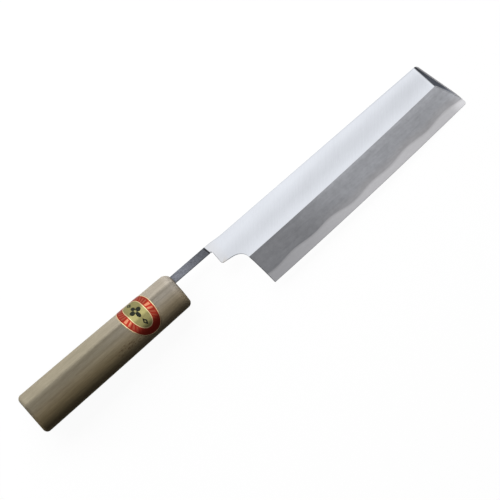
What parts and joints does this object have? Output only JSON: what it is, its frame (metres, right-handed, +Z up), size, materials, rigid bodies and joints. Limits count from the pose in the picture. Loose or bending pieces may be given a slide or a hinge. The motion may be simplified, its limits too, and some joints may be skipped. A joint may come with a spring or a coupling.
{
  "type": "usuba knife",
  "caption": "Single-bevel vegetable knife: a square-tipped blade of soft iron with a forge-welded edge steel back, its tang set in a tapered wooden handle of D section.",
  "frame": {"origin": "middle of the knife's box, on the surface that it lies on", "axes": "+X from the handle's butt to the blade's tip, +Y towards the spine, +Z up, away from the surface, on the bevel side"},
  "size_m": [0.3348, 0.0512, 0.0244],
  "materials": {
    "iron": "polished flat above the ridge, misty grey on the bevel, dark forge skin on the tang",
    "steel": "fine satin, ground lengthwise",
    "wood": "bare fine-grained magnolia, sanded smooth",
    "foil": "red and gold foil label, semi-gloss"
  },
  "bodies": {
    "root": {"blade_iron": "iron", "edge_steel": "steel", "handle": "wood", "label": "foil"}
  },
  "joints": []
}
